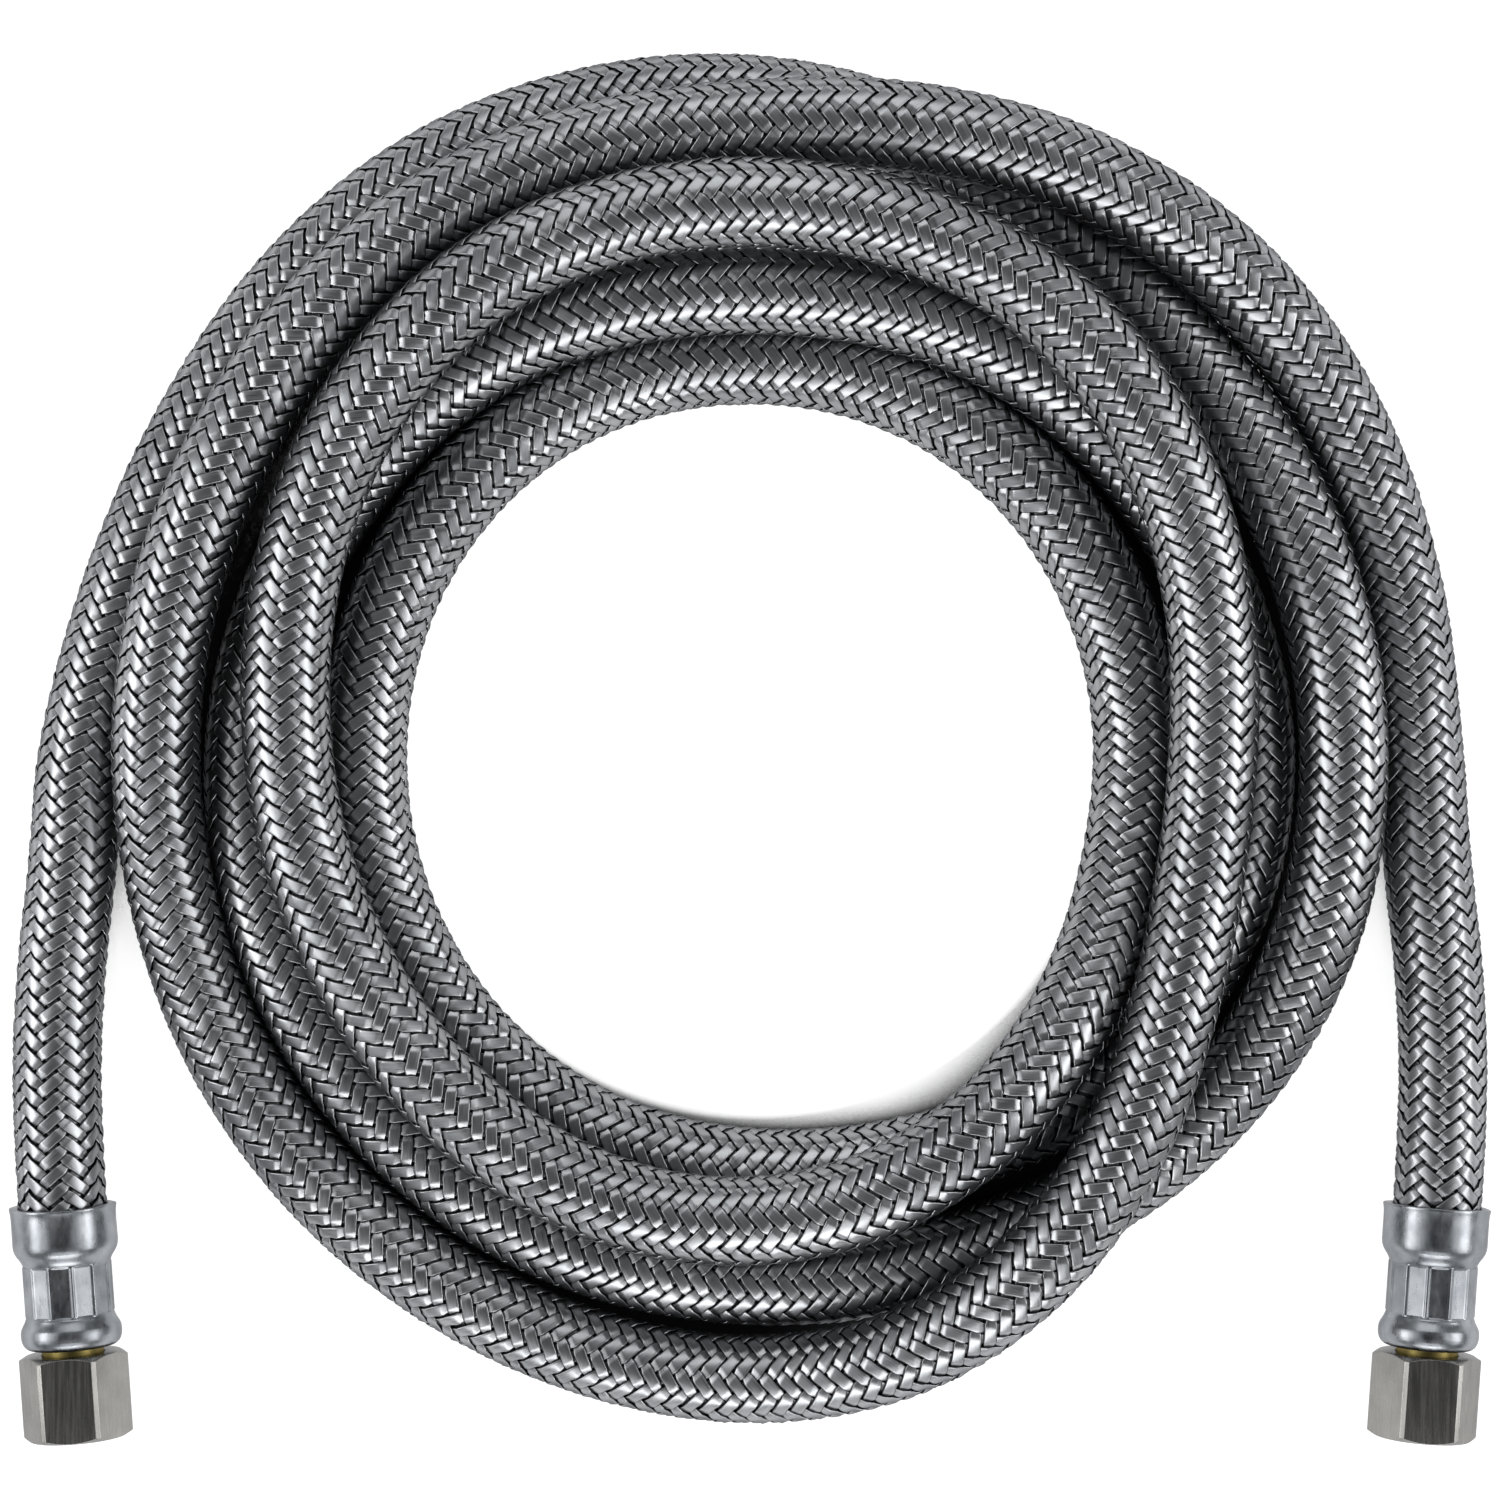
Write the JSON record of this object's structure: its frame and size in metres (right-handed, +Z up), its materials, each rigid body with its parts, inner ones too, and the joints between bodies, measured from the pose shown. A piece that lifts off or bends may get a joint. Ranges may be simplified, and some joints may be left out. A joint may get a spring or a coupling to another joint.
{
  "type": "braided water supply line",
  "caption": "Flexible braided steel water supply line in an oval coil, with a crimped ferrule and a free-spinning hex coupling nut on each end.",
  "frame": {"origin": "middle of the coil, on the surface it lies on", "axes": "+Z up from the surface, +X across the coil from end A to end B, +Y away from the two nuts"},
  "size_m": [0.1946, 0.1826, 0.029],
  "materials": {
    "liner": "matt black rubber tube",
    "braid": "bright stainless wire braid",
    "ferrule": "bright crimped steel",
    "nut": "satin nickel plate",
    "insert": "machined brass",
    "seal": "moulded black rubber",
    "washer": "natural nylon"
  },
  "bodies": {
    "line": {"hose_coil": "braid", "liner_tail_a": "liner", "braid_tail_a": "braid", "liner_end_a": "liner", "braid_end_a": "braid", "ferrule_a": "ferrule", "insert_a": "insert", "seal_a": "seal", "liner_tail_b": "liner", "braid_tail_b": "braid", "liner_end_b": "liner", "braid_end_b": "braid", "ferrule_b": "ferrule", "insert_b": "insert", "seal_b": "seal"},
    "slip_a": {"washer_a": "washer"},
    "swivel_a": {"nut_a": "nut"},
    "slip_b": {"washer_b": "washer"},
    "swivel_b": {"nut_b": "nut"}
  },
  "joints": [
    {"name": "nut_push_back_a", "type": "slide", "parent": "line", "child": "slip_a", "axis": [-0.0698, 0.9976, 0], "range_m": [0, 0.00075]},
    {"name": "nut_spin_a", "type": "hinge", "parent": "slip_a", "child": "swivel_a", "pos_m": [-0.08853, -0.08529, 0.0074], "axis": [0.0698, -0.9976, 0], "continuous": true},
    {"name": "nut_push_back_b", "type": "slide", "parent": "line", "child": "slip_b", "axis": [0.0698, 0.9976, 0], "range_m": [0, 0.00075]},
    {"name": "nut_spin_b", "type": "hinge", "parent": "slip_b", "child": "swivel_b", "pos_m": [0.08853, -0.08529, 0.0074], "axis": [-0.0698, -0.9976, 0], "continuous": true}
  ]
}
